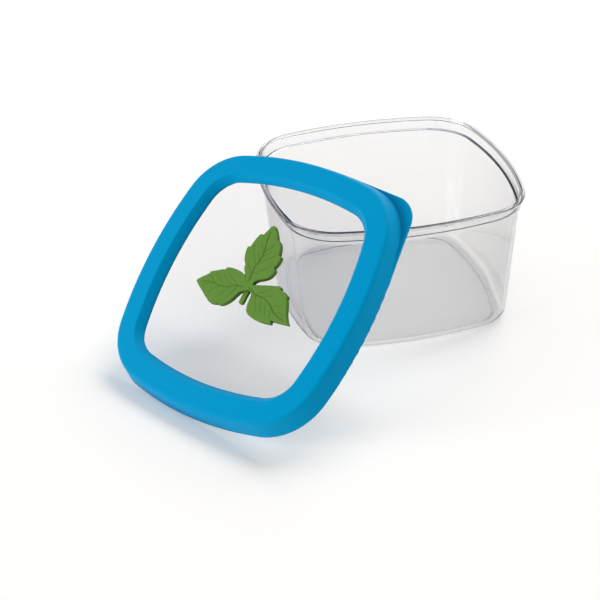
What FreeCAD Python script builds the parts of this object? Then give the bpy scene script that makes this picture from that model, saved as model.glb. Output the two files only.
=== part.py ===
import FreeCAD, Part
import math
import os

# Herb keeper: a clear food tub with bowed sides, and its lid leaning on one corner of it.
# Millimetres. The origin is the centre of the tub's base, +Z is up, and the sides of the tub
# face X and Y. The lid is built flat, its skirt's lower edge at height 0, and then leaned.
# "Offset" is measured square to the wall, outward from the outer edge of the tub's lip.

# Plan of the tub's lip, which every other outline follows
HALF_WIDTH = 70.0
SIDE_RADIUS = 200.0
CORNER_RADIUS = 31.0

# Tub
TUB_HEIGHT = 76.0
FLOOR = 2.0
WALL = 1.8
BODY_TOP_INSET = 3.0
BODY_BASE_INSET = 8.0
BASE_ROUND = 6.0
FLOOR_ROUND = 4.2
COLLAR_HEIGHT = 7.5
COLLAR_WALL = 1.4
COLLAR_TAPER = 0.7
BEAD_HEIGHT = 2.0
BEAD_PROUD = 1.2
BEAD_ROUND = 0.5
LIP_ROUND = 0.7
LEDGE_THICKNESS = 1.4
LEDGE_ROUND = 0.3
GROOVE_INSET = 15.0
GROOVE_WIDTH = 1.6
GROOVE_DEPTH = 0.7
GROOVE_ROUND = 0.2

# Lid frame
SKIRT_OVERLAP = 0.3
SKIRT_WALL = 2.0
SKIRT_ROUND = 0.7
SKIRT_INNER_ROUND = 0.5
SKIRT_FLARE = 4.2
BAND_OUTSET = 0.7
BAND_THICKNESS = 3.2
BAND_CROWN = 0.5
BAND_OUTER_ROUND = 2.2
BAND_INNER_ROUND = 0.9
BAND_WIDTH = 11.5
SIGHT_SLOPE = 3.3
CHANNEL_GAP = 0.35
CHANNEL_ROUND = 0.3
SNAP_REACH = 0.8
SNAP_DROP = 0.8
SNAP_ROUND = 0.25
SEAL_SQUEEZE = 0.2
SEAL_RIB = 0.6
SEAL_RIB_SPACING = 1.9
PLUG_DEPTH = 5.2
PLUG_ROUND = 0.5
UNDER_LIP_REVEAL = 2.0

# Finger tab at one corner of the skirt
TAB_THICKNESS = 2.0
TAB_ANGLE = 6.5
TAB_CORNER_RADIUS = 14.5
TAB_ROUND = 0.7
TAB_ROOT = 0.4

# Window panel and the holes the frame grips it by
WINDOW_THICKNESS = 2.0
WINDOW_DROP = 3.9
WINDOW_GRIP = 6.7
LOCK_HOLE_RADIUS = 1.3
LOCK_HOLE_INSET = 2.4
LOCK_HOLES_PER_SIDE = 3
MOULD_GAP = 0.05

# Leaf sprig: three leaves, each with its own length, heading and width to either side
LEAF_THICKNESS = 2.6
TOP_LEAF_ANGLE = 92.8
TOP_LEAF_LENGTH = 33.7
TOP_LEAF_LEFT_WIDTH = 10.8
TOP_LEAF_RIGHT_WIDTH = 12.2
LEFT_LEAF_ANGLE = 189.3
LEFT_LEAF_LENGTH = 31.5
LEFT_LEAF_LEFT_WIDTH = 10.4
LEFT_LEAF_RIGHT_WIDTH = 9.4
RIGHT_LEAF_ANGLE = -18.5
RIGHT_LEAF_LENGTH = 34.6
RIGHT_LEAF_LEFT_WIDTH = 11.6
RIGHT_LEAF_RIGHT_WIDTH = 9.3
LEAF_START = 1.5
LEAF_BASE_HALF_WIDTH = 1.4
BELLY_SHIFT = 0.85
BELLY_FULLNESS = 0.75
TOOTH_STATIONS = (0.34, 0.57, 0.80)
TOOTH_DEPTH = 1.3
TOOTH_ADVANCE = 0.4
BELLY_BULGE = 0.17
TOOTH_BULGE = 0.07
STEM_LENGTH = 10.0
STEM_WIDTH = 3.4
STEM_THICKNESS = 1.6
STEM_ROUND = 1.2
HUB_RADIUS = 3.4
HUB_DROP = 2.0
MIDRIB_RADIUS = 0.45
MIDRIB_REACH = 0.9
VEIN_RADIUS = 0.3
VEIN_ANGLE = 42.0
VEIN_REACH = 0.75
VEIN_SETBACK = 0.5
PEG_RADIUS = 2.0
PEG_STATION = 0.45
PEG_BITE = 1.0
PEG_HEAD_RADIUS = 3.2
PEG_HEAD_THICKNESS = 0.8

# How the lid leans on the tub
LEAN_TILT = 40.05
LEAN_HEADING = -56.2
LEAN_SPIN = 5.3
LEAN_SIDESTEP = 3.6
LEAN_GAP = 0.3

UP = FreeCAD.Vector(0, 0, 1)


def corner_centre():
    """X and Y of the corner arcs' centres, where side and corner arcs run tangent."""
    k = SIDE_RADIUS - HALF_WIDTH
    reach = SIDE_RADIUS - CORNER_RADIUS
    return (math.sqrt(2 * reach * reach - k * k) - k) / 2


CORNER = corner_centre()
SIDE_CENTRE = SIDE_RADIUS - HALF_WIDTH
SIDE_HALF_ANGLE = math.degrees(math.atan2(CORNER, CORNER + SIDE_CENTRE))


def plan_arcs():
    """Centre, start angle, sweep and radius of the outline's eight arcs, in order."""
    arcs = []
    for quarter in range(4):
        turn = FreeCAD.Rotation(UP, 90 * quarter)
        side = turn.multVec(FreeCAD.Vector(-SIDE_CENTRE, 0, 0))
        corner = turn.multVec(FreeCAD.Vector(CORNER, CORNER, 0))
        start = 90 * quarter - SIDE_HALF_ANGLE
        arcs.append((side, start, 2 * SIDE_HALF_ANGLE, SIDE_RADIUS))
        start = 90 * quarter + SIDE_HALF_ANGLE
        arcs.append((corner, start, 90 - 2 * SIDE_HALF_ANGLE, CORNER_RADIUS))
    return arcs


def polar(centre, radius, angle):
    turn = math.radians(angle)
    return centre + FreeCAD.Vector(radius * math.cos(turn), radius * math.sin(turn), 0)


def outline_prism(offset, low, high):
    """Solid of the bowed outline at an offset, between two heights."""
    edges = []
    for centre, start, sweep, radius in plan_arcs():
        ends = [polar(centre, radius + offset, start + sweep * share) for share in (0, 0.5, 1)]
        edges.append(Part.Arc(*ends).toShape())
    face = Part.Face(Part.Wire(edges))
    face.translate(FreeCAD.Vector(0, 0, low))
    return face.extrude(FreeCAD.Vector(0, 0, high - low))


def rounded_wire(corners):
    """Closed wire through corners given as a point and a rounding radius."""
    edges = []
    trims = []
    count = len(corners)
    for index, (point, radius) in enumerate(corners):
        before = (corners[index - 1][0] - point).normalize()
        after = (corners[(index + 1) % count][0] - point).normalize()
        if radius == 0:
            trims.append((point, point))
            continue
        half = before.getAngle(after) / 2
        run = radius / math.tan(half)
        bisector = (before + after).normalize()
        middle = point + bisector * (radius / math.sin(half) - radius)
        trims.append((point + before * run, point + after * run))
        edges.append(Part.Arc(trims[-1][0], middle, trims[-1][1]).toShape())
    for index in range(count):
        leave = trims[index][1]
        arrive = trims[(index + 1) % count][0]
        edges.append(Part.LineSegment(leave, arrive).toShape())
    return Part.Wire(Part.__sortEdges__(edges))


def ring(corners):
    """Solid whose section, given as (offset, height, rounding), runs round the outline."""
    wedges = []
    for centre, start, sweep, radius in plan_arcs():
        section = []
        for offset, height, rounding in corners:
            point = polar(centre, radius + offset, start) + UP * height
            section.append((point, rounding))
        face = Part.Face(rounded_wire(section))
        wedges.append(face.revolve(centre, UP, sweep))
    return wedges[0].multiFuse(wedges[1:])


def reach(offset, direction):
    """How far the outline at an offset reaches along a direction, its height left out."""
    across = abs(direction.x)
    along = abs(direction.y)
    length = math.hypot(across, along)
    if math.degrees(math.atan2(min(across, along), max(across, along))) < SIDE_HALF_ANGLE:
        return (SIDE_RADIUS + offset) * length - SIDE_CENTRE * max(across, along)
    return (CORNER_RADIUS + offset) * length + CORNER * (across + along)


# Heights and offsets that several pieces share
ledge_height = TUB_HEIGHT - COLLAR_HEIGHT
lip_width = BEAD_PROUD + COLLAR_WALL
seat_height = COLLAR_HEIGHT + SKIRT_OVERLAP
band_height = seat_height + BAND_THICKNESS
window_top = band_height - WINDOW_DROP
window_bottom = window_top - WINDOW_THICKNESS
plug_face = -lip_width - CHANNEL_GAP
plug_bottom = seat_height - PLUG_DEPTH
band_inner = BAND_OUTSET - BAND_WIDTH
sight_edge = band_inner - SIGHT_SLOPE
window_edge = sight_edge + WINDOW_GRIP


def make_tub():
    """Floor with a stacking groove under it, drafted walls, stepped collar and beaded lip."""
    slope = (BODY_BASE_INSET - BODY_TOP_INSET) / ledge_height
    inner_base = -BODY_BASE_INSET - WALL + slope * FLOOR
    core = -BODY_BASE_INSET - BASE_ROUND - FLOOR_ROUND
    collar_top = -BEAD_PROUD
    collar_base = collar_top - COLLAR_TAPER
    inner_ledge = ledge_height + LEDGE_THICKNESS
    inner_body = -BODY_TOP_INSET - WALL + slope * LEDGE_THICKNESS
    bead_base = TUB_HEIGHT - BEAD_HEIGHT
    groove_slope = GROOVE_WIDTH / 4
    groove_inner = -GROOVE_INSET - GROOVE_WIDTH / 2
    groove_outer = -GROOVE_INSET + GROOVE_WIDTH / 2
    section = [
        (core, 0, 0),
        (groove_inner, 0, GROOVE_ROUND),
        (groove_inner + groove_slope, GROOVE_DEPTH, GROOVE_ROUND),
        (groove_outer - groove_slope, GROOVE_DEPTH, GROOVE_ROUND),
        (groove_outer, 0, GROOVE_ROUND),
        (-BODY_BASE_INSET, 0, BASE_ROUND),
        (-BODY_TOP_INSET, ledge_height, LEDGE_ROUND),
        (collar_base, ledge_height, LEDGE_ROUND),
        (collar_top, bead_base, LEDGE_ROUND),
        (0, bead_base, BEAD_ROUND),
        (0, TUB_HEIGHT, LIP_ROUND),
        (-lip_width, TUB_HEIGHT, LIP_ROUND),
        (collar_base - COLLAR_WALL, inner_ledge, LEDGE_ROUND),
        (inner_body, inner_ledge, LEDGE_ROUND),
        (inner_base, FLOOR, FLOOR_ROUND),
        (core, FLOOR, 0),
    ]
    floor = outline_prism(core, 0, FLOOR)
    return ring(section).fuse(floor).removeSplitter()


def lock_hole_centres():
    """Plan positions of the holes in the window's hidden edge, even along each arc."""
    centres = []
    offset = window_edge - LOCK_HOLE_INSET
    for centre, start, sweep, radius in plan_arcs():
        count = LOCK_HOLES_PER_SIDE if radius == SIDE_RADIUS else 1
        for index in range(count):
            angle = start + sweep * (index + 0.5) / count
            centres.append(polar(centre, radius + offset, angle))
    return centres


def leaves():
    """Heading, length, left width and right width of each leaf, seen from its base."""
    return (
        (TOP_LEAF_ANGLE, TOP_LEAF_LENGTH, TOP_LEAF_LEFT_WIDTH, TOP_LEAF_RIGHT_WIDTH),
        (LEFT_LEAF_ANGLE, LEFT_LEAF_LENGTH, LEFT_LEAF_LEFT_WIDTH, LEFT_LEAF_RIGHT_WIDTH),
        (RIGHT_LEAF_ANGLE, RIGHT_LEAF_LENGTH, RIGHT_LEAF_LEFT_WIDTH, RIGHT_LEAF_RIGHT_WIDTH),
    )


def leaf_point(angle, distance):
    """Point on a leaf's midrib at a distance from the leaf's base."""
    return polar(FreeCAD.Vector(0, -HUB_DROP, 0), LEAF_START + distance, angle)


def peg_centres():
    return [leaf_point(angle, length * PEG_STATION) for angle, length, *widths in leaves()]


def make_window():
    """Flat clear panel with the frame's lock holes and the sprig's peg holes."""
    panel = outline_prism(window_edge, window_bottom, window_top)
    for centre in lock_hole_centres():
        foot = centre + UP * window_bottom
        panel = panel.cut(Part.makeCylinder(LOCK_HOLE_RADIUS, WINDOW_THICKNESS, foot))
    for centre in peg_centres():
        foot = centre + UP * window_bottom
        panel = panel.cut(Part.makeCylinder(PEG_RADIUS + MOULD_GAP, WINDOW_THICKNESS, foot))
    return panel


def seal_rib(middle):
    """Section corners of one pointed rib on the plug's outer face, from low to high."""
    tip = -lip_width + SEAL_SQUEEZE
    return [
        (plug_face, middle - SEAL_RIB, 0),
        (tip, middle, 0),
        (plug_face, middle + SEAL_RIB, 0),
    ]


def make_tab():
    """Thin flange whose edges leave the bowed sides along their tangents."""
    root = SIDE_RADIUS + SKIRT_FLARE - TAB_ROOT
    side = FreeCAD.Vector(-SIDE_CENTRE, 0, 0)
    lower = polar(side, root, TAB_ANGLE)
    heading = math.radians(90 + TAB_ANGLE)
    run = (lower.x - lower.y) / (math.sin(heading) - math.cos(heading))
    tip = lower + FreeCAD.Vector(math.cos(heading), math.sin(heading), 0) * run
    upper = FreeCAD.Vector(lower.y, lower.x, 0)
    plan = [(FreeCAD.Vector(), 0), (lower, 0), (tip, TAB_CORNER_RADIUS), (upper, 0)]
    blank = Part.Face(rounded_wire(plan)).extrude(UP * TAB_THICKNESS)
    rim = []
    for edge in blank.Edges:
        box = edge.BoundBox
        if box.ZLength < TAB_THICKNESS / 2 and min(box.XMin, box.YMin) > TAB_THICKNESS:
            rim.append(edge)
    blank = blank.makeFillet(TAB_ROUND, rim)
    inside = outline_prism(SKIRT_FLARE - SKIRT_WALL / 2, 0, TAB_THICKNESS)
    return blank.cut(inside)


def make_frame():
    """Soft frame: band, skirt with snap ridge, lip channel, sealing plug and window groove."""
    snap_back = seat_height - BEAD_HEIGHT - CHANNEL_GAP
    rib_high = seat_height - SEAL_RIB_SPACING / 2 - SEAL_RIB
    section = [
        (SKIRT_FLARE, 0, SKIRT_ROUND),
        (BAND_OUTSET, band_height, BAND_OUTER_ROUND),
        (band_inner, band_height + BAND_CROWN, BAND_INNER_ROUND),
        (sight_edge, window_top, 0),
        (window_edge + MOULD_GAP, window_top, 0),
        (window_edge + MOULD_GAP, window_bottom, 0),
        (sight_edge + UNDER_LIP_REVEAL, window_bottom, 0),
        (sight_edge + UNDER_LIP_REVEAL, plug_bottom, PLUG_ROUND),
        (plug_face, plug_bottom, PLUG_ROUND),
    ]
    section += seal_rib(rib_high - SEAL_RIB_SPACING)
    section += seal_rib(rib_high)
    section += [
        (plug_face, seat_height, CHANNEL_ROUND),
        (CHANNEL_GAP, seat_height, CHANNEL_ROUND),
        (CHANNEL_GAP, snap_back, 0),
        (CHANNEL_GAP - SNAP_REACH, snap_back - SNAP_DROP, SNAP_ROUND),
        (SKIRT_FLARE - SKIRT_WALL, 0, SKIRT_INNER_ROUND),
    ]
    posts = []
    for centre in lock_hole_centres():
        foot = centre + UP * window_bottom
        posts.append(Part.makeCylinder(LOCK_HOLE_RADIUS - MOULD_GAP, WINDOW_THICKNESS, foot))
    return ring(section).fuse(make_tab()).multiFuse(posts).removeSplitter()


def half_width(share, widest):
    """Leaf's width to one side of its midrib at a share of its length."""
    return widest * math.sin(math.pi * share ** BELLY_SHIFT) ** BELLY_FULLNESS


def bulged(start, end, bulge, side):
    """Arc between two points that swells out to one side by a share of its chord."""
    chord = end - start
    outward = FreeCAD.Vector(-chord.y, chord.x, 0) * (bulge * side)
    return Part.Arc(start, (start + end) * 0.5 + outward, end).toShape()


def leaf_side(length, widest, side):
    """Edges of one side of a leaf along +X: a full belly, then forward-pointing teeth."""
    edges = []
    here = FreeCAD.Vector(0, side * LEAF_BASE_HALF_WIDTH, 0)
    bulge = BELLY_BULGE
    for share in TOOTH_STATIONS:
        along = share * length
        width = half_width(share, widest)
        tooth = FreeCAD.Vector(along, side * width, 0)
        notch = FreeCAD.Vector(along + TOOTH_ADVANCE, side * (width - TOOTH_DEPTH), 0)
        edges.append(bulged(here, tooth, bulge, side))
        edges.append(Part.LineSegment(tooth, notch).toShape())
        here = notch
        bulge = TOOTH_BULGE
    edges.append(bulged(here, FreeCAD.Vector(length, 0, 0), bulge, side))
    return edges


def leaf_grooves(length, widest, side):
    """Cutters for the side veins on one side of the midrib."""
    grooves = []
    heading = polar(FreeCAD.Vector(), 1, side * VEIN_ANGLE)
    for share in TOOTH_STATIONS:
        width = half_width(share, widest)
        foot = FreeCAD.Vector(share * length - width * VEIN_SETBACK, 0, LEAF_THICKNESS)
        grooves.append(Part.makeCylinder(VEIN_RADIUS, width * VEIN_REACH, foot, heading))
    return grooves


def make_leaf(length, left, right):
    """One leaf along +X with its engraved midrib and side veins, underside at height 0."""
    base = Part.LineSegment(
        FreeCAD.Vector(0, -LEAF_BASE_HALF_WIDTH, 0),
        FreeCAD.Vector(0, LEAF_BASE_HALF_WIDTH, 0),
    ).toShape()
    outline = [base] + leaf_side(length, left, 1) + leaf_side(length, right, -1)
    leaf = Part.Face(Part.Wire(Part.__sortEdges__(outline))).extrude(UP * LEAF_THICKNESS)
    top = UP * LEAF_THICKNESS
    ahead = FreeCAD.Vector(1, 0, 0)
    midrib = Part.makeCylinder(MIDRIB_RADIUS, length * MIDRIB_REACH, top, ahead)
    return leaf.cut(midrib.multiFuse(leaf_grooves(length, left, 1) + leaf_grooves(length, right, -1)))


def make_stem():
    """Short straight stem, lower than the leaves, that runs down from the hub."""
    corner = FreeCAD.Vector(-STEM_WIDTH / 2, -HUB_DROP - STEM_LENGTH, 0)
    stem = Part.makeBox(STEM_WIDTH, STEM_LENGTH, STEM_THICKNESS, corner)
    foot_edges = []
    for edge in stem.Edges:
        if edge.BoundBox.ZLength > STEM_THICKNESS / 2 and edge.BoundBox.YMax < -HUB_DROP:
            foot_edges.append(edge)
    return stem.makeFillet(STEM_ROUND, foot_edges)


def make_sprig():
    """Three leaves, hub and stem, with headed pegs that hold them through the window."""
    hub = Part.makeCylinder(HUB_RADIUS, LEAF_THICKNESS, FreeCAD.Vector(0, -HUB_DROP, 0))
    pieces = [make_stem()]
    for angle, length, left, right in leaves():
        leaf = make_leaf(length, left, right)
        leaf.rotate(FreeCAD.Vector(), UP, angle)
        leaf.translate(leaf_point(angle, 0))
        pieces.append(leaf)
    under = WINDOW_THICKNESS + PEG_HEAD_THICKNESS
    for centre in peg_centres():
        foot = centre - UP * under
        pieces.append(Part.makeCylinder(PEG_RADIUS, under + PEG_BITE, foot))
        pieces.append(Part.makeCylinder(PEG_HEAD_RADIUS, PEG_HEAD_THICKNESS, foot))
    sprig = hub.multiFuse(pieces).removeSplitter()
    sprig.translate(UP * window_top)
    return sprig


def turned(vector, angle):
    return FreeCAD.Rotation(UP, angle).multVec(vector)


def lean_placement():
    """Where the lid stands: skirt on the table, window against the tub's near corner."""
    across = FreeCAD.Vector(1, 0, 0)
    turn = FreeCAD.Rotation(UP, LEAN_HEADING)
    tilt = FreeCAD.Rotation(across, LEAN_TILT)
    rotation = turn.multiply(tilt).multiply(FreeCAD.Rotation(UP, LEAN_SPIN))
    normal = rotation.multVec(UP)

    # Lowest point of the skirt's rounded outer edge, seen in the lid's own frame
    down = rotation.inverted().multVec(-UP)
    skirt_slope = math.atan2(SKIRT_FLARE - BAND_OUTSET, band_height)
    edge_run = SKIRT_ROUND * math.tan(math.pi / 4 + skirt_slope / 2)
    height = reach(SKIRT_FLARE - edge_run, down) + SKIRT_ROUND * (1 + down.z)

    # Highest point of the lip's rounded edge along the lid's normal
    lip = reach(-LIP_ROUND, normal) + (TUB_HEIGHT - LIP_ROUND) * normal.z + LIP_ROUND
    along_normal = lip + LEAN_GAP - window_bottom

    tilt_angle = math.radians(LEAN_TILT)
    uphill = turned(FreeCAD.Vector(0, 1, 0), LEAN_HEADING)
    sideways = turned(across, LEAN_HEADING)
    distance = (height * math.cos(tilt_angle) - along_normal) / math.sin(tilt_angle)
    place = uphill * distance + sideways * LEAN_SIDESTEP + UP * height
    return FreeCAD.Placement(place, rotation)


def export(node, shape):
    if not shape.isValid() or len(shape.Solids) != 1:
        raise ValueError(node + " is not one valid solid")
    shape.Solids[0].exportStep("parts/" + node + ".step")


os.makedirs("parts", exist_ok=True)
export("tub", make_tub())
lean = lean_placement()
for node, make in (
    ("lid_window", make_window),
    ("lid_frame", make_frame),
    ("leaf_sprig", make_sprig),
):
    piece = make()
    piece.Placement = lean.multiply(piece.Placement)
    export(node, piece)
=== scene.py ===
import math

import bpy
import numpy as np
from mathutils import Matrix, Vector, geometry


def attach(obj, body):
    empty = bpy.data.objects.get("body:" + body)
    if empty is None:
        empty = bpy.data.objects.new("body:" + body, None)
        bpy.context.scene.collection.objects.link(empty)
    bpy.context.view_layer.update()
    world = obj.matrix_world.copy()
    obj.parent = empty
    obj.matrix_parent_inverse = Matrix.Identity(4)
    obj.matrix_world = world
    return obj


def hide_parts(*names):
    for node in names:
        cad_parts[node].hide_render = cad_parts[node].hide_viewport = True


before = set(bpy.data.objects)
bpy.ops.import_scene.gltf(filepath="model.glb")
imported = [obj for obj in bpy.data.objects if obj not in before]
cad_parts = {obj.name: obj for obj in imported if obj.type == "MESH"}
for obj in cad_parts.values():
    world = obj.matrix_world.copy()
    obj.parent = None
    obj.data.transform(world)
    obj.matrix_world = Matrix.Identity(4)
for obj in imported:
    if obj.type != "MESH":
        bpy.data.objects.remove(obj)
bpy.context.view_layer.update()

MM = 0.001

# Camera: a long lens looking down at the tub, turned a little and rolled a little
CAMERA_AZIMUTH = -0.1920
CAMERA_ELEVATION = 0.5419
CAMERA_ROLL = -0.0438
CAMERA_DISTANCE = 801.3 * MM
CAMERA_AIM_ACROSS = -50.9 * MM
CAMERA_AIM_UP = -5.3 * MM
CAMERA_REACH = (0.01, 20)
FOCAL_LENGTH_PX = 1368.2
FRAME_PX = 600
SENSOR_MM = 36.0

# Soft boxes, in metres and watts: name, place, side and power
LIGHTS = (
    ("left", (-2.5, -0.3, 0.70), 1.3, 30.5),
    ("right", (1.6, 1.2, 2.4), 1.9, 60.0),
)
LIGHT_AIM = Vector((-0.03, 0, 0.03))

# Surroundings: the even light that falls on things, and what the view and clear plastic see,
# which turns from backdrop to ceiling between two heights of the direction looked in
AMBIENT = 0.39
BACKDROP = (1, 1, 1, 1)
CEILING = (0.02, 0.05, 0.22, 1)
CEILING_FADE = (0.10, 0.75)

# Floor, in metres: its lift towards white grows between two distances from the middle
FLOOR_COLOUR = (0.98, 0.96, 0.935, 1)
FLOOR_RADIUS = 1.6
FLOOR_SIDES = 96
FLOOR_LIFT = 0.14
FLOOR_FADE = (0.40, 1.30)

# Clear plastic: how much light passes face on, and how late light skimming it darkens
CLEAR_ROUGHNESS = 0.01
CLEAR_IOR = 1.5
CLEAR_PASSING = (0.99, 0.99, 0.99, 1)
SKIM_POWER = 5.0

# Soft plastic: a faint mottle, a fine grain, and painted shade, a deeper colour within reach of a
# groove or a corner
SOFT_ROUGHNESS = 0.55
SOFT_SPECULAR = 0.2
MOTTLE_SCALE = 55.0
MOTTLE_DETAIL = 3.0
GRAIN_SCALE = 2600.0
GRAIN_DETAIL = 2.0
GRAIN_STRENGTH = 0.06
GRAIN_DEPTH = 0.2 * MM
PAINTED_SHADE_REACH = 6 * MM
PAINTED_SHADE_SAMPLES = 8


def make_camera():
    az, el = CAMERA_AZIMUTH, CAMERA_ELEVATION
    back = Vector((math.sin(az) * math.cos(el), -math.cos(az) * math.cos(el), math.sin(el)))
    level = Vector((math.cos(az), math.sin(az), 0))
    rise = back.cross(level)
    right = level * math.cos(CAMERA_ROLL) + rise * math.sin(CAMERA_ROLL)
    up = rise * math.cos(CAMERA_ROLL) - level * math.sin(CAMERA_ROLL)
    aim = level * CAMERA_AIM_ACROSS + Vector((0, 0, CAMERA_AIM_UP))
    data = bpy.data.cameras.new("camera")
    data.sensor_width = SENSOR_MM
    data.lens = FOCAL_LENGTH_PX / FRAME_PX * SENSOR_MM
    data.clip_start, data.clip_end = CAMERA_REACH
    camera = bpy.data.objects.new("camera", data)
    bpy.context.scene.collection.objects.link(camera)
    turn = Matrix((right, up, back)).transposed().to_4x4()
    camera.matrix_world = Matrix.Translation(aim + back * CAMERA_DISTANCE) @ turn
    bpy.context.scene.camera = camera


class Nodes:
    """Small helper that adds and links shader nodes."""

    def __init__(self, tree):
        self.tree = tree
        tree.nodes.clear()

    def add(self, kind, inputs=None, **settings):
        node = self.tree.nodes.new(kind)
        for name, value in settings.items():
            setattr(node, name, value)
        for name, value in (inputs or {}).items():
            if isinstance(value, bpy.types.NodeSocket):
                self.tree.links.new(value, node.inputs[name])
            else:
                node.inputs[name].default_value = value
        return node


def new_material(name):
    material = bpy.data.materials.new(name)
    material.use_nodes = True
    return material, Nodes(material.node_tree)


def seen_by_view(nodes):
    """1 for camera, glossy and transmission rays, 0 for the light that falls on things."""
    path = nodes.add("ShaderNodeLightPath")
    seen_or_mirrored = nodes.add("ShaderNodeMath", {0: path.outputs["Is Camera Ray"],
                                                    1: path.outputs["Is Glossy Ray"]},
                                 operation="MAXIMUM")
    in_view = nodes.add("ShaderNodeMath", {0: seen_or_mirrored.outputs[0],
                                           1: path.outputs["Is Transmission Ray"]},
                        operation="MAXIMUM")
    return in_view.outputs[0]


def make_world():
    """White all round at the height of a backdrop, and deep navy overhead."""
    world = bpy.data.worlds.new("studio")
    bpy.context.scene.world = world
    world.use_nodes = True
    nodes = Nodes(world.node_tree)
    direction = nodes.add("ShaderNodeTexCoord")
    height = nodes.add("ShaderNodeSeparateXYZ", {"Vector": direction.outputs["Generated"]})
    overhead = nodes.add("ShaderNodeMapRange", {
        "Value": height.outputs["Z"], "From Min": CEILING_FADE[0], "From Max": CEILING_FADE[1],
    }, interpolation_type="SMOOTHSTEP")
    view = nodes.add("ShaderNodeMix", {"Factor": overhead.outputs["Result"],
                                       "A": BACKDROP, "B": CEILING}, data_type="RGBA")
    shown = nodes.add("ShaderNodeBackground", {"Color": view.outputs["Result"], "Strength": 1.0})
    fill = nodes.add("ShaderNodeBackground", {"Color": (1, 1, 1, 1), "Strength": AMBIENT})
    mix = nodes.add("ShaderNodeMixShader", {0: seen_by_view(nodes),
                                            1: fill.outputs[0], 2: shown.outputs[0]})
    nodes.add("ShaderNodeOutputWorld", {"Surface": mix.outputs[0]})


def make_floor():
    """Pale matt floor that turns white far out, so that its edge doesn't show."""
    material, nodes = new_material("floor")
    spot = nodes.add("ShaderNodeTexCoord")
    distance = nodes.add("ShaderNodeVectorMath", {0: spot.outputs["Object"]}, operation="LENGTH")
    fade = nodes.add("ShaderNodeMapRange", {
        "Value": distance.outputs["Value"], "From Min": FLOOR_FADE[0], "From Max": FLOOR_FADE[1],
        "To Min": FLOOR_LIFT, "To Max": 1.0,
    }, interpolation_type="SMOOTHSTEP")
    lift = nodes.add("ShaderNodeMath", {0: seen_by_view(nodes), 1: fade.outputs["Result"]},
                     operation="MULTIPLY")
    matt = nodes.add("ShaderNodeBsdfDiffuse", {"Color": FLOOR_COLOUR})
    glow = nodes.add("ShaderNodeEmission", {"Strength": lift.outputs[0]})
    both = nodes.add("ShaderNodeAddShader", {0: matt.outputs[0], 1: glow.outputs[0]})
    nodes.add("ShaderNodeOutputMaterial", {"Surface": both.outputs[0]})
    bpy.ops.mesh.primitive_circle_add(vertices=FLOOR_SIDES, radius=FLOOR_RADIUS,
                                      fill_type="NGON")
    floor = bpy.context.object
    floor.name = "floor"
    floor.data.materials.append(material)


def make_lights():
    """Soft boxes aimed between the tub and the lid."""
    for name, place, size, power in LIGHTS:
        data = bpy.data.lights.new(name, "AREA")
        data.shape = "SQUARE"
        data.size = size
        data.energy = power
        lamp = bpy.data.objects.new(name, data)
        bpy.context.scene.collection.objects.link(lamp)
        lamp.location = place
        lamp.rotation_mode = "QUATERNION"
        lamp.rotation_quaternion = (LIGHT_AIM - lamp.location).to_track_quat("-Z", "Y")


def clear_plastic(name, body, edge, edge_shade_power, shade, tint, density):
    """Polished clear moulding with painted shade, a tint towards the edge colour where it is seen
    edge-on, and darker where light skims it.
    """
    material, nodes = new_material(name)
    turned_away = nodes.add("ShaderNodeLayerWeight", {"Blend": 0.5})
    # Painted shade: the colour turns to the edge colour as the surface is seen more edge-on
    rim = nodes.add("ShaderNodeMath", {0: turned_away.outputs["Facing"], 1: edge_shade_power},
                    operation="POWER")
    colour = nodes.add("ShaderNodeMix", {"Factor": rim.outputs[0], "A": body, "B": edge},
                       data_type="RGBA")
    shader = nodes.add("ShaderNodeBsdfPrincipled", {
        "Base Color": colour.outputs["Result"],
        "Roughness": CLEAR_ROUGHNESS,
        "IOR": CLEAR_IOR,
        "Transmission Weight": 1.0,
    })
    skimmed = nodes.add("ShaderNodeMath", {0: turned_away.outputs["Facing"], 1: SKIM_POWER},
                        operation="POWER")
    passing = nodes.add("ShaderNodeMix", {"Factor": skimmed.outputs[0],
                                          "A": CLEAR_PASSING, "B": shade},
                        data_type="RGBA")
    see_through = nodes.add("ShaderNodeBsdfTransparent", {"Color": passing.outputs["Result"]})
    path = nodes.add("ShaderNodeLightPath")
    lighting = nodes.add("ShaderNodeMath", {0: path.outputs["Is Shadow Ray"],
                                            1: path.outputs["Is Diffuse Ray"]},
                         operation="MAXIMUM")
    mix = nodes.add("ShaderNodeMixShader", {0: lighting.outputs[0],
                                            1: shader.outputs[0], 2: see_through.outputs[0]})
    tinted = nodes.add("ShaderNodeVolumeAbsorption", {"Color": tint, "Density": density})
    nodes.add("ShaderNodeOutputMaterial", {"Surface": mix.outputs[0], "Volume": tinted.outputs[0]})
    return material


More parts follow.
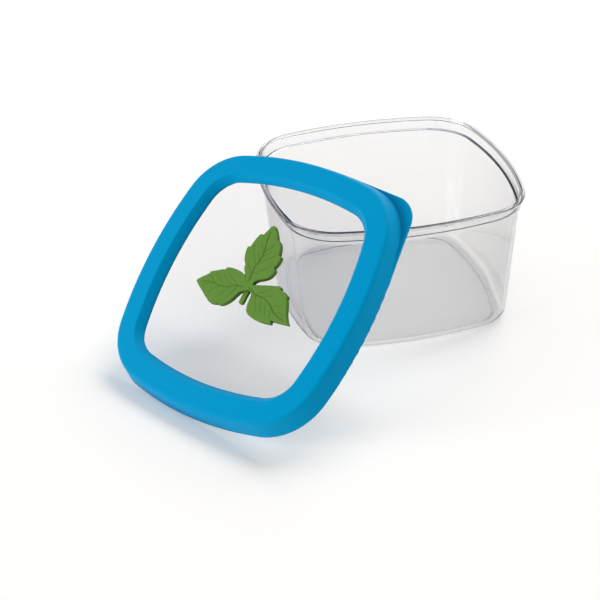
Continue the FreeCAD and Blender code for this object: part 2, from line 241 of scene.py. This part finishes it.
def soft_plastic(name, colour, dark, deep, edge_tint):
    """Satin moulding, a little uneven in colour, with painted shade in its grooves and corners."""
    material, nodes = new_material(name)
    mottle = nodes.add("ShaderNodeTexNoise", {"Scale": MOTTLE_SCALE, "Detail": MOTTLE_DETAIL})
    open_colour = nodes.add("ShaderNodeMix", {"Factor": mottle.outputs["Fac"],
                                              "A": colour, "B": dark}, data_type="RGBA")
    # Painted shade: the deep colour takes over where other surfaces lie close, in grooves, in
    # corners and beside the window
    painted_shade_mask = nodes.add("ShaderNodeAmbientOcclusion", {"Distance": PAINTED_SHADE_REACH},
                         samples=PAINTED_SHADE_SAMPLES)
    mix = nodes.add("ShaderNodeMix", {"Factor": painted_shade_mask.outputs["AO"], "A": deep,
                                      "B": open_colour.outputs["Result"]}, data_type="RGBA")
    grain = nodes.add("ShaderNodeTexNoise", {"Scale": GRAIN_SCALE, "Detail": GRAIN_DETAIL})
    bump = nodes.add("ShaderNodeBump", {"Height": grain.outputs["Fac"],
                                        "Strength": GRAIN_STRENGTH, "Distance": GRAIN_DEPTH})
    shader = nodes.add("ShaderNodeBsdfPrincipled", {
        "Base Color": mix.outputs["Result"],
        "Roughness": SOFT_ROUGHNESS,
        "Specular IOR Level": SOFT_SPECULAR,
        "Specular Tint": edge_tint,
        "Normal": bump.outputs[0],
    })
    nodes.add("ShaderNodeOutputMaterial", {"Surface": shader.outputs[0]})
    return material


def tub_plastic():
    """Clear wall with painted navy shade where it is seen edge-on."""
    return clear_plastic(
        "clear_plastic_wall",
        body=(0.910, 0.910, 0.900, 1),
        edge=(0.01, 0.02, 0.12, 1),
        edge_shade_power=4.5,
        shade=(0.20, 0.20, 0.25, 1),
        tint=(0.25, 0.27, 0.40, 1),
        density=20.0,
    )


def window_plastic():
    """Clear panel with painted shade where it is seen edge-on, paler than the tub's."""
    return clear_plastic(
        "clear_plastic_window",
        body=(0.950, 0.950, 0.950, 1),
        edge=(0.30, 0.32, 0.45, 1),
        edge_shade_power=6.0,
        shade=(0.85, 0.85, 0.87, 1),
        tint=(0.30, 0.30, 0.40, 1),
        density=4.0,
    )


def blue_plastic():
    return soft_plastic(
        "soft_blue",
        colour=(0.0, 0.370, 0.710, 1),
        dark=(0.0, 0.336, 0.662, 1),
        # The deep colour is painted shade for the frame's grooves, corners and inner slopes
        deep=(0.0, 0.110, 0.260, 1),
        edge_tint=(0.0, 0.65, 0.95, 1),
    )


def green_plastic():
    return soft_plastic(
        "soft_green",
        colour=(0.156, 0.314, 0.053, 1),
        dark=(0.132, 0.286, 0.045, 1),
        # The deep colour is painted shade for the veins, the hub and the leaves' side walls
        deep=(0.006, 0.026, 0.003, 1),
        edge_tint=(0.6, 0.9, 0.4, 1),
    )


def paint(node, material):
    """Gives a CAD piece its material."""
    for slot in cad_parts[node].material_slots:
        slot.material = material


# Tub, in millimetres, with the CAD's sizes to a hundredth. Insets are measured from the lip's
# outer edge, and the inner ones are those of the wall's inner face.
HALF_WIDTH = 70.0
SIDE_RADIUS = 200.0
CORNER_RADIUS = 31.0
SIDE_CENTRE = SIDE_RADIUS - HALF_WIDTH
TUB_HEIGHT = 76.0
TUB_FLOOR = 2.0
BODY_TOP_INSET = 3.0
BODY_BASE_INSET = 8.0
INNER_TOP_INSET = 4.7
INNER_BASE_INSET = 9.65
BASE_ROUND = 6.0
FLOOR_ROUND = 4.2
COLLAR_HEIGHT = 7.5
COLLAR_WALL = 1.4
COLLAR_TAPER = 0.7
BEAD_HEIGHT = 2.0
BEAD_PROUD = 1.2
BEAD_ROUND = 0.5
LIP_ROUND = 0.7
LEDGE_THICKNESS = 1.4
LEDGE_ROUND = 0.3
RING_INSET = 15.0
RING_WIDTH = 1.6
RING_DEPTH = 0.7
RING_ROUND = 0.2

# Fineness of the tub's sweep
COLUMNS_PER_SIDE = 24
COLUMNS_PER_CORNER = 32
ROUND_STEPS = 4
ROUND_STEPS_PER_MM = 2


def tub_section():
    """Offset, height and rounding of each corner, out along the underside and back over the lip."""
    core = -BODY_BASE_INSET - BASE_ROUND - FLOOR_ROUND
    ring_slope = RING_WIDTH / 4
    ring_inner = -RING_INSET - RING_WIDTH / 2
    ring_outer = -RING_INSET + RING_WIDTH / 2
    ledge = TUB_HEIGHT - COLLAR_HEIGHT
    bead = TUB_HEIGHT - BEAD_HEIGHT
    collar_top = -BEAD_PROUD
    collar_base = collar_top - COLLAR_TAPER
    return [
        (core, 0.0, 0.0),
        (ring_inner, 0.0, RING_ROUND),
        (ring_inner + ring_slope, RING_DEPTH, RING_ROUND),
        (ring_outer - ring_slope, RING_DEPTH, RING_ROUND),
        (ring_outer, 0.0, RING_ROUND),
        (-BODY_BASE_INSET, 0.0, BASE_ROUND),
        (-BODY_TOP_INSET, ledge, LEDGE_ROUND),
        (collar_base, ledge, LEDGE_ROUND),
        (collar_top, bead, LEDGE_ROUND),
        (0.0, bead, BEAD_ROUND),
        (0.0, TUB_HEIGHT, LIP_ROUND),
        (collar_top - COLLAR_WALL, TUB_HEIGHT, LIP_ROUND),
        (collar_base - COLLAR_WALL, ledge + LEDGE_THICKNESS, LEDGE_ROUND),
        (-INNER_TOP_INSET, ledge + LEDGE_THICKNESS, LEDGE_ROUND),
        (-INNER_BASE_INSET, TUB_FLOOR, FLOOR_ROUND),
        (core, TUB_FLOOR, 0.0),
    ]


def unit(vector):
    return vector / np.hypot(*vector)


def rounded_section(corners):
    """Points along a section with its corners rounded, each with its outward normal."""
    spots = [(np.array((x, z)), radius) for x, z, radius in corners]
    points, normals = [], []
    for index, (corner, radius) in enumerate(spots):
        before = spots[max(index - 1, 0)][0]
        after = spots[min(index + 1, len(spots) - 1)][0]
        if radius == 0:
            along = unit(after - before)
            points.append(corner)
            normals.append((along[1], -along[0]))
            continue
        coming = unit(corner - before)
        going = unit(after - corner)
        bend = math.atan2(coming[0] * going[1] - coming[1] * going[0], coming @ going)
        start = corner - coming * radius * math.tan(abs(bend) / 2)
        side = math.copysign(1, bend)
        centre = start + np.array((-coming[1], coming[0])) * radius * side
        steps = round(abs(bend) * (ROUND_STEPS + ROUND_STEPS_PER_MM * radius))
        steps = max(ROUND_STEPS, steps)
        for step in range(steps + 1):
            angle = bend * step / steps
            turn = np.array(((math.cos(angle), -math.sin(angle)),
                             (math.sin(angle), math.cos(angle))))
            points.append(centre + turn @ (start - centre))
            along = turn @ coming
            normals.append((along[1], -along[0]))
    return np.array(points), np.array(normals)


def outline_columns():
    """Arc centre, arc radius and direction at each column round the bowed outline."""
    reach = SIDE_RADIUS - CORNER_RADIUS
    corner = (math.sqrt(2 * reach ** 2 - SIDE_CENTRE ** 2) - SIDE_CENTRE) / 2
    half = math.atan2(corner, corner + SIDE_CENTRE)
    arcs = (
        ((-SIDE_CENTRE, 0), SIDE_RADIUS, -half, half, COLUMNS_PER_SIDE),
        ((corner, corner), CORNER_RADIUS, half, math.pi / 2 - half, COLUMNS_PER_CORNER),
    )
    columns = []
    for quarter in range(4):
        turn = Matrix.Rotation(quarter * math.pi / 2, 2)
        for centre, radius, start, end, count in arcs:
            for angle in np.linspace(start, end, count, endpoint=False):
                way = turn @ Vector((math.cos(angle), math.sin(angle)))
                columns.append((turn @ Vector(centre), radius, way))
    return columns


def make_tub(material):
    """The tub swept finely, so that its walls bend light without facets."""
    points, normals = rounded_section(tub_section())
    columns = outline_columns()
    verts, verts_normals, faces = [], [], []
    for centre, radius, way in columns:
        for (offset, height), (out, up) in zip(points, normals):
            place = centre + way * (radius + offset)
            verts.append(Vector((place.x, place.y, height)) * MM)
            verts_normals.append(Vector((way.x * out, way.y * out, up)))
    rows = len(points)
    for column in range(len(columns)):
        here = column * rows
        there = (column + 1) % len(columns) * rows
        for row in range(rows - 1):
            faces.append((here + row, there + row, there + row + 1, here + row + 1))
    faces.append([column * rows for column in reversed(range(len(columns)))])
    faces.append([column * rows + rows - 1 for column in range(len(columns))])
    data = bpy.data.meshes.new("tub_fine")
    data.from_pydata(verts, [], faces)
    data.materials.append(material)
    for polygon in data.polygons:
        polygon.use_smooth = True
    data.normals_split_custom_set_from_vertices(verts_normals)
    tub = bpy.data.objects.new("tub_fine", data)
    bpy.context.scene.collection.objects.link(tub)
    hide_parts("tub")
    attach(tub, "base")


# How the lid leans: the place of its own origin in metres, and three turns in degrees
LEAN_PLACE = Vector((-85.883, -61.826, 47.650)) * MM
LEAN_HEADING = -56.2
LEAN_TILT = 40.05
LEAN_SPIN = 5.3

# Leaf sprig, in the lid's own frame: millimetres, +Y towards the top leaf
WINDOW_TOP = 7.1
WINDOW_BOTTOM = 5.1
LEAF_THICKNESS = 2.6
STEM_THICKNESS = 1.6
EDGE_ROUND = 0.18
EDGE_ROWS = (0.05, 0.13, EDGE_ROUND)
EDGE_ROW_TOLERANCE = 0.9
SHARP_ANGLE = 50

# Veins: a groove's half width and depth, in a wide shallow dip. Both fade out at the rim.
MAIN_GROOVE = (0.22, 0.32)
SIDE_GROOVE = (0.17, 0.17)
DIP_DEPTH = 0.14
DIP_HALF_WIDTH = 1.2
RIM_FADE = 1.5

# Fineness of the leaf mesh, and how far its rows of points stay apart
CELL = 0.42
CELL_ROW_SHARE = 0.866
RIM_STEP = 0.32
VEIN_STEP = 0.35
VEIN_ROWS = (-0.42, -0.26, -0.13, 0.0, 0.13, 0.26, 0.42)
VEIN_MARGIN = 0.15
RIM_MARGIN = 0.1
MERGE_DISTANCE = 1e-3
TINY = 1e-9

# Pegs through the window, sunk a little into the leaves
PEG_CENTRES = ((-0.82, 14.64), (-15.47, -4.53), (16.19, -7.42))
PEG_RADIUS = 2.0
PEG_SIDES = 48
PEG_SINK = 0.3
PEG_HEAD_RADIUS = 3.2
PEG_HEAD_THICKNESS = 0.8
PEG_HEAD_CHAMFER = 0.2

# The outline runs between sharp tooth tips and notches, and bends smoothly in between
LEAVES = [
    # top leaf
    [(-2.9, 1.9), (-4.8, 4.1), (-6.8, 6.5), (-7.6, 8.5)],
    [(-7.6, 8.5), (-7.5, 8.9), (-9.5, 11.2), (-10.9, 14.3), (-11.6, 17.2), (-11.4, 18.9)],
    [(-11.4, 18.9), (-10.0, 19.0)],
    [(-10.0, 19.0), (-9.6, 21.5), (-8.9, 24.2), (-8.0, 26.5), (-7.5, 27.1)],
    [(-7.5, 27.1), (-5.9, 27.2)],
    [(-5.9, 27.2), (-4.8, 29.3), (-4.0, 31.2), (-3.1, 32.7), (-1.9, 33.3), (-1.0, 33.0),
     (0.8, 31.2), (3.0, 28.5), (4.3, 26.3)],
    [(4.3, 26.3), (5.8, 26.3)],
    [(5.8, 26.3), (7.6, 24.3), (8.9, 21.6), (9.5, 19.1)],
    [(9.5, 19.1), (11.4, 18.6)],
    [(11.4, 18.6), (11.6, 16.4), (11.0, 13.6), (10.3, 11.9)],
    [(10.3, 11.9), (11.7, 10.8)],
    [(11.7, 10.8), (11.5, 8.8), (10.7, 7.0), (9.0, 5.4), (6.7, 4.1), (4.4, 3.0), (2.9, 1.6)],
    [(2.9, 1.6), (2.7, 0.7), (3.4, -0.1)],
    # right leaf
    [(3.4, -0.1), (4.7, 0.4), (7.7, 1.1), (10.7, 1.9), (14.1, 2.7), (17.0, 3.3), (18.8, 3.7),
     (20.0, 3.5)],
    [(20.0, 3.5), (20.4, 2.1)],
    [(20.4, 2.1), (22.9, 1.7), (25.2, 0.9), (26.5, -0.1)],
    [(26.5, -0.1), (26.4, -1.3)],
    [(26.4, -1.3), (27.6, -2.9), (28.9, -5.5), (30.4, -8.6), (32.3, -11.3), (34.5, -13.7)],
    [(34.5, -13.7), (28.6, -14.2), (23.8, -14.5)],
    [(23.8, -14.5), (24.1, -16.1)],
    [(24.1, -16.1), (22.3, -16.5), (17.3, -16.8), (12.0, -16.4), (9.3, -15.7), (7.1, -14.4),
     (5.9, -12.3), (5.3, -10.0), (5.0, -6.4), (4.4, -4.7), (3.2, -3.9), (1.9, -3.3)],
    [(1.9, -3.3), (0.4, -4.0), (-1.0, -4.6)],
    # left leaf
    [(-1.0, -4.6), (-2.9, -5.8), (-3.9, -7.6), (-5.1, -10.1), (-6.5, -12.2), (-8.5, -14.1),
     (-10.4, -15.2), (-11.5, -15.5)],
    [(-11.5, -15.5), (-12.3, -14.9)],
    [(-12.3, -14.9), (-13.3, -15.4), (-16.0, -16.0), (-18.1, -15.9), (-19.7, -15.2)],
    [(-19.7, -15.2), (-20.4, -14.6), (-22.3, -13.7), (-25.7, -11.6), (-29.5, -9.4),
     (-32.6, -7.2)],
    [(-32.6, -7.2), (-31.4, -5.6), (-29.1, -3.5), (-26.6, -1.4)],
    [(-26.6, -1.4), (-26.4, -0.1)],
    [(-26.4, -0.1), (-22.9, 1.4), (-20.0, 2.8), (-18.4, 3.1)],
    [(-18.4, 3.1), (-17.7, 4.5)],
    [(-17.7, 4.5), (-16.1, 5.0), (-14.3, 5.2), (-12.2, 5.2), (-9.0, 4.9), (-6.1, 4.2),
     (-4.2, 3.2), (-2.9, 1.9)],
]
STEM = [
    [(-1.3, -3.0), (-1.2, -6.0), (-1.1, -9.9), (-0.8, -11.0), (0.3, -11.4), (1.4, -11.1),
     (1.8, -10.0), (1.9, -6.0), (2.1, -3.0)],
    [(2.1, -3.0), (-1.3, -3.0)],
]
MAIN_VEINS = [
    [(-0.2, 1.5), (-0.7, 4.5), (-1.0, 7.0), (-1.1, 9.5), (-0.3, 12.0), (0.0, 15.0),
     (0.0, 18.0), (-0.8, 21.5), (-1.7, 25.0), (-2.0, 29.5)],
    [(-2.4, -2.4), (-4.6, -2.7), (-7.6, -3.1), (-12.5, -5.3), (-17.0, -5.7), (-22.0, -5.3),
     (-28.5, -6.4)],
    [(1.6, -1.9), (4.0, -2.8), (7.4, -4.3), (12.4, -4.6), (15.4, -5.4), (19.4, -7.4),
     (22.8, -10.1), (26.4, -11.4), (31.0, -12.5)],
]
SIDE_VEINS = [
    [(0.3, 11.8), (2.8, 14.0), (5.9, 16.5), (7.9, 18.6)],
    [(0.2, 17.4), (1.6, 20.3), (3.4, 22.5), (4.6, 24.2)],
    [(0.2, 15.2), (2.4, 17.4), (4.6, 20.0)],
    [(-0.9, 10.2), (-2.8, 12.8), (-5.0, 15.0), (-6.8, 18.0), (-7.6, 20.6)],
    [(-0.3, 13.4), (-2.0, 15.6), (-3.8, 18.6)],
    [(-0.2, 17.2), (-2.2, 20.2), (-4.2, 23.4)],
    [(-1.0, 6.0), (2.4, 7.6), (5.6, 9.8), (8.2, 12.6)],
    [(-0.9, 5.2), (-3.4, 7.6), (-6.0, 10.6)],
    [(-5.0, -2.4), (-8.6, -0.9), (-12.6, 0.9), (-14.6, 2.2)],
    [(-8.4, -3.2), (-11.6, -2.2), (-14.6, -0.8), (-17.2, 1.2)],
    [(-14.4, -5.0), (-16.6, -3.2), (-19.0, -1.7), (-21.6, 0.2)],
    [(-20.0, -5.4), (-22.4, -3.8), (-24.8, -2.2)],
    [(-9.0, -4.0), (-11.6, -7.2), (-13.6, -11.0)],
    [(-5.6, -3.0), (-6.8, -6.4), (-8.0, -9.8)],
    [(-16.5, -6.0), (-19.2, -8.2), (-21.4, -11.0)],
    [(-23.0, -5.6), (-25.2, -7.2), (-26.6, -8.8)],
    [(12.6, -4.4), (16.2, -2.6), (19.8, -1.6)],
    [(7.2, -4.0), (11.0, -2.0), (14.8, 0.4)],
    [(20.2, -7.6), (23.2, -6.3), (26.4, -5.5)],
    [(23.6, -10.4), (26.6, -9.4), (29.4, -9.4)],
    [(7.8, -4.8), (9.8, -8.2), (12.6, -12.6)],
    [(12.0, -4.8), (13.4, -8.6), (15.4, -13.0)],
    [(15.8, -5.8), (16.8, -9.2), (18.8, -13.2)],
    [(20.4, -8.2), (21.2, -11.0), (22.2, -13.4)],
]


def smooth_run(points, step):
    """Points along a Catmull-Rom curve through the given ones."""
    points = np.array(points, float)
    if len(points) == 2:
        count = max(1, int(np.hypot(*(points[1] - points[0])) / step))
        share = np.linspace(0, 1, count, endpoint=False)[:, None]
        return points[0] * (1 - share) + points[1] * share
    padded = np.vstack([2 * points[0] - points[1], points, 2 * points[-1] - points[-2]])
    runs = []
    for a, b, c, d in zip(padded, padded[1:], padded[2:], padded[3:]):
        count = max(1, int(np.hypot(*(c - b)) / step))
        t = np.linspace(0, 1, count, endpoint=False)[:, None]
        runs.append(0.5 * (2 * b + (c - a) * t + (2 * a - 5 * b + 4 * c - d) * t ** 2
                           + (3 * b - a - 3 * c + d) * t ** 3))
    return np.vstack(runs)


def outline_of(runs):
    return np.vstack([smooth_run(run, RIM_STEP) for run in runs])


def segment_distance(points, starts, ends):
    """Distance from each point to the nearest of the segments."""
    nearest = np.full(len(points), np.inf)
    for a, b in zip(starts, ends):
        along = b - a
        share = np.clip(((points - a) @ along) / max(along @ along, TINY), 0, 1)
        gap = points - a - share[:, None] * along
        nearest = np.minimum(nearest, np.hypot(gap[:, 0], gap[:, 1]))
    return nearest


def inside(points, loop):
    """Which points lie inside a closed loop."""
    within = np.zeros(len(points), bool)
    for a, b in zip(loop, np.roll(loop, -1, axis=0)):
        crosses = (a[1] > points[:, 1]) != (b[1] > points[:, 1])
        rise = b[1] - a[1] if b[1] != a[1] else TINY
        x = a[0] + (points[:, 1] - a[1]) / rise * (b[0] - a[0])
        within ^= crosses & (points[:, 0] < x)
    return within


def side_normals(starts, ends):
    """Unit normals square to each segment."""
    normal = np.stack([ends[:, 1] - starts[:, 1], starts[:, 0] - ends[:, 0]], axis=1)
    return normal / np.maximum(np.hypot(normal[:, 0], normal[:, 1]), TINY)[:, None]


def rim_points(starts, ends, loop):
    """Rows of points just inside the outline, which carry its rounded edge."""
    rows = []
    normal = side_normals(starts, ends)
    for inset in EDGE_ROWS:
        for side in (1, -1):
            row = (starts + ends) / 2 + normal * inset * side
            row = row[inside(row, loop)]
            clear = segment_distance(row, starts, ends) > inset * EDGE_ROW_TOLERANCE
            rows.append(row[clear])
    return np.vstack(rows)


def even_grid(loop, starts, ends):
    """Points in staggered rows, well inside the outline."""
    low, high = loop.min(axis=0), loop.max(axis=0)
    xs = np.arange(low[0], high[0], CELL)
    ys = np.arange(low[1], high[1], CELL * CELL_ROW_SHARE)
    grid = np.array([(x + CELL / 2 * (row % 2), y) for row, y in enumerate(ys) for x in xs])
    grid = grid[inside(grid, loop)]
    return grid[segment_distance(grid, starts, ends) > EDGE_ROUND + CELL / 2]


def plate_plan(loop, starts, ends, lines):
    """Points and faces that fill the outline, with rows of points along its rim and veins."""
    grid = even_grid(loop, starts, ends)
    rows = [loop, rim_points(starts, ends, loop)]
    for line, _ in lines:
        from_vein = segment_distance(grid, line[:-1], line[1:])
        grid = grid[from_vein > VEIN_ROWS[-1] + VEIN_MARGIN]
        normal = side_normals(line[:-1], line[1:])
        for shift in VEIN_ROWS:
            row = (line[:-1] + line[1:]) / 2 + normal * shift
            from_rim = segment_distance(row, starts, ends)
            rows.append(row[from_rim > EDGE_ROUND + RIM_MARGIN])
    points = np.vstack(rows + [grid])
    rim = [(index, (index + 1) % len(loop)) for index in range(len(loop))]
    flat = [Vector(point) for point in points]
    verts, _, faces, *_ = geometry.delaunay_2d_cdt(flat, rim, [], 0, MERGE_DISTANCE, False)
    plan = np.array([tuple(v) for v in verts])
    middles = np.array([plan[list(face)].mean(axis=0) for face in faces])
    return plan, [face for face, kept in zip(faces, inside(middles, loop)) if kept]


def plate_mesh(runs, thickness, veins):
    """Plate with a rounded rim and engraved veins: plan points, heights and faces."""
    loop = outline_of(runs)
    starts, ends = loop, np.roll(loop, -1, axis=0)
    lines = [(smooth_run(line, VEIN_STEP), groove) for line, groove in veins]
    plan, faces = plate_plan(loop, starts, ends, lines)
    edge = segment_distance(plan, starts, ends)
    lip = np.clip(edge / EDGE_ROUND, 0, 1)
    height = thickness - EDGE_ROUND * (1 - np.sqrt(1 - (1 - lip) ** 2))
    carved = np.zeros(len(plan))
    nearest = np.full(len(plan), np.inf)
    for line, (width, depth) in lines:
        distance = segment_distance(plan, line[:-1], line[1:])
        carved = np.maximum(carved, depth * np.exp(-(distance / width) ** 2))
        nearest = np.minimum(nearest, distance)
    carved += DIP_DEPTH * np.exp(-(nearest / DIP_HALF_WIDTH) ** 2)
    return plan, height - carved * np.clip(edge / RIM_FADE, 0, 1), faces


def boundary_edges(faces):
    """Directed outer edges of a set of faces."""
    edges = set()
    for face in faces:
        for a, b in zip(face, list(face[1:]) + [face[0]]):
            edges.add((a, b))
    return [edge for edge in edges if (edge[1], edge[0]) not in edges]


def add_plate(mesh, runs, thickness, veins, base):
    """Adds a plate as a closed solid: carved top, flat underside and walls between them."""
    plan, height, faces = plate_mesh(runs, thickness, veins)
    start = len(mesh["verts"])
    count = len(plan)
    for (x, y), z in zip(plan, height):
        mesh["verts"].append((x, y, base + z))
    for x, y in plan:
        mesh["verts"].append((x, y, base))
    up = [list(face) for face in faces]
    a, b, c = (Vector(plan[index]) for index in up[0][:3])
    if (b - a).cross(c - a) < 0:
        up = [face[::-1] for face in up]
    mesh["faces"] += [[start + index for index in face] for face in up]
    mesh["faces"] += [[start + count + index for index in face[::-1]] for face in up]
    for a, b in boundary_edges(up):
        mesh["faces"].append([start + b, start + a, start + count + a, start + count + b])


def add_peg(mesh, centre):
    """Peg through the window with a flat head under it."""
    low = WINDOW_BOTTOM - PEG_HEAD_THICKNESS
    rings = (
        (PEG_HEAD_RADIUS - PEG_HEAD_CHAMFER, low),
        (PEG_HEAD_RADIUS, low + PEG_HEAD_CHAMFER),
        (PEG_HEAD_RADIUS, WINDOW_BOTTOM),
        (PEG_RADIUS, WINDOW_BOTTOM),
        (PEG_RADIUS, WINDOW_TOP + PEG_SINK),
    )
    start = len(mesh["verts"])
    for radius, height in rings:
        for index in range(PEG_SIDES):
            angle = 2 * math.pi * index / PEG_SIDES
            mesh["verts"].append((centre[0] + radius * math.cos(angle),
                                  centre[1] + radius * math.sin(angle), height))
    for level in range(len(rings) - 1):
        here = start + level * PEG_SIDES
        above = here + PEG_SIDES
        for index in range(PEG_SIDES):
            after = (index + 1) % PEG_SIDES
            mesh["faces"].append([here + index, here + after, above + after, above + index])
    mesh["faces"].append([start + index for index in reversed(range(PEG_SIDES))])
    top = start + (len(rings) - 1) * PEG_SIDES
    mesh["faces"].append([top + index for index in range(PEG_SIDES)])


def lean():
    """From the lid's own frame to where it leans on the tub."""
    heading = Matrix.Rotation(math.radians(LEAN_HEADING), 4, "Z")
    tilt = Matrix.Rotation(math.radians(LEAN_TILT), 4, "X")
    spin = Matrix.Rotation(math.radians(LEAN_SPIN), 4, "Z")
    return Matrix.Translation(LEAN_PLACE) @ (heading @ tilt @ spin)


def make_sprig(material):
    """Three toothed leaves with carved veins, a short stem and the pegs that hold them."""
    mesh = {"verts": [], "faces": []}
    veins = [(line, MAIN_GROOVE) for line in MAIN_VEINS]
    veins += [(line, SIDE_GROOVE) for line in SIDE_VEINS]
    add_plate(mesh, LEAVES, LEAF_THICKNESS, veins, WINDOW_TOP)
    add_plate(mesh, STEM, STEM_THICKNESS, [], WINDOW_TOP)
    for centre in PEG_CENTRES:
        add_peg(mesh, centre)
    data = bpy.data.meshes.new("leaf_sprig_carved")
    data.from_pydata([Vector(v) * MM for v in mesh["verts"]], [], mesh["faces"])
    data.transform(lean())
    data.materials.append(material)
    for polygon in data.polygons:
        polygon.use_smooth = True
    data.set_sharp_from_angle(angle=math.radians(SHARP_ANGLE))
    sprig = bpy.data.objects.new("leaf_sprig_carved", data)
    bpy.context.scene.collection.objects.link(sprig)
    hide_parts("leaf_sprig")
    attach(sprig, "lid")


make_camera()
make_world()
make_floor()
make_lights()
make_tub(tub_plastic())
paint("lid_window", window_plastic())
paint("lid_frame", blue_plastic())
make_sprig(green_plastic())
bpy.context.scene.view_settings.view_transform = "Standard"
